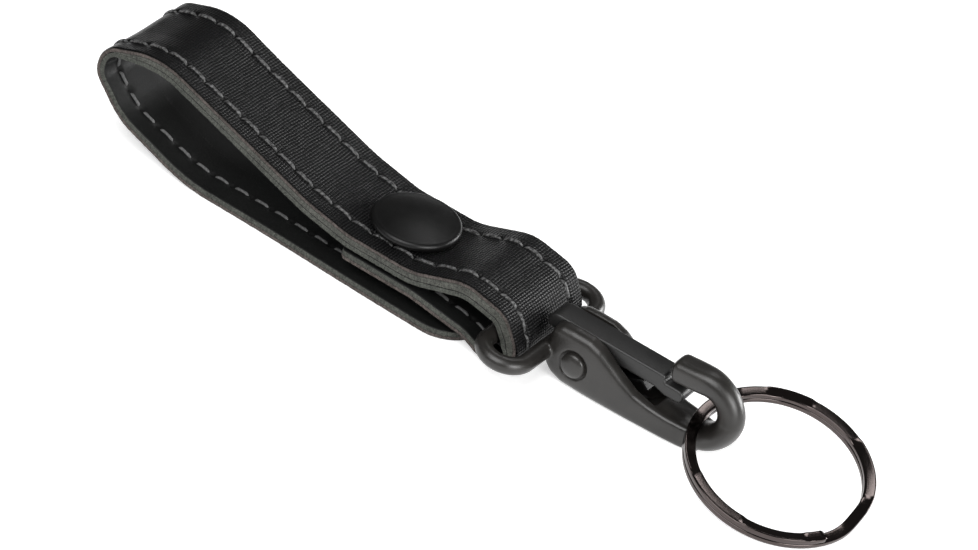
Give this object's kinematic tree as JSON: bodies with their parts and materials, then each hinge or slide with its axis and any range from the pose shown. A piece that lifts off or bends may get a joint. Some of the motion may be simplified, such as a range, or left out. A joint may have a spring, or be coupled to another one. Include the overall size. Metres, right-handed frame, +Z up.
{
  "type": "wristlet keychain",
  "caption": "Stitched strap keychain: a flat wrist or belt loop closed by a snap fastener, with a spring-gate snap hook and a split ring for keys.",
  "frame": {"origin": "on the resting plane, under the axis of the snap fastener, in the middle of the strap's width", "axes": "+X along the strap towards the hook and ring, +Y across the strap, +Z up from the resting plane"},
  "size_m": [0.1425, 0.0308, 0.02],
  "materials": {
    "facing": "black woven-pattern laminate, satin",
    "core": "grey fibreboard filler, matt",
    "lining": "smooth black synthetic leather, satin",
    "thread": "black bonded thread",
    "cap_black": "satin black",
    "snap_nickel": "bright nickel plate",
    "hook_black": "satin black coating",
    "spring_steel": "plain spring steel",
    "ring_nickel": "polished black nickel"
  },
  "bodies": {
    "strap": {"strap_facing": "facing", "strap_core": "core", "strap_lining": "lining", "stitching_near": "thread", "stitching_far": "thread", "snap_cap": "cap_black", "snap_socket": "snap_nickel", "socket_spring": "spring_steel"},
    "tail": {"tail_facing": "facing", "tail_lining": "lining", "tail_stitching": "thread", "snap_stud": "snap_nickel", "snap_post": "snap_nickel"},
    "hook": {"hook_body": "hook_black", "gate_pin": "hook_black", "gate_spring": "spring_steel"},
    "gate": {"gate": "hook_black"},
    "ring": {"split_ring": "ring_nickel"}
  },
  "joints": [
    {"name": "tail_open", "type": "hinge", "parent": "strap", "child": "tail", "pos_m": [-0.032, 0, 0], "axis": [0, 1, 0], "range_deg": [0, 90]},
    {"name": "hook_swing", "type": "hinge", "parent": "strap", "child": "hook", "pos_m": [0.02185, 0, 0.0052], "axis": [0, 1, 0], "range_deg": [-60, 60]},
    {"name": "gate_pivot", "type": "hinge", "parent": "hook", "child": "gate", "pos_m": [0.0347, 0, 0.0049], "axis": [0, 1, 0], "range_deg": [0, 8], "stiffness_Nm_per_rad": 0.05, "springref_deg": -5.73, "deforming": ["gate_spring"]},
    {"name": "ring_swing", "type": "hinge", "parent": "hook", "child": "ring", "pos_m": [0.0556, 0, 0.00565], "axis": [0, 1, 0], "range_deg": [-130, 100]}
  ]
}
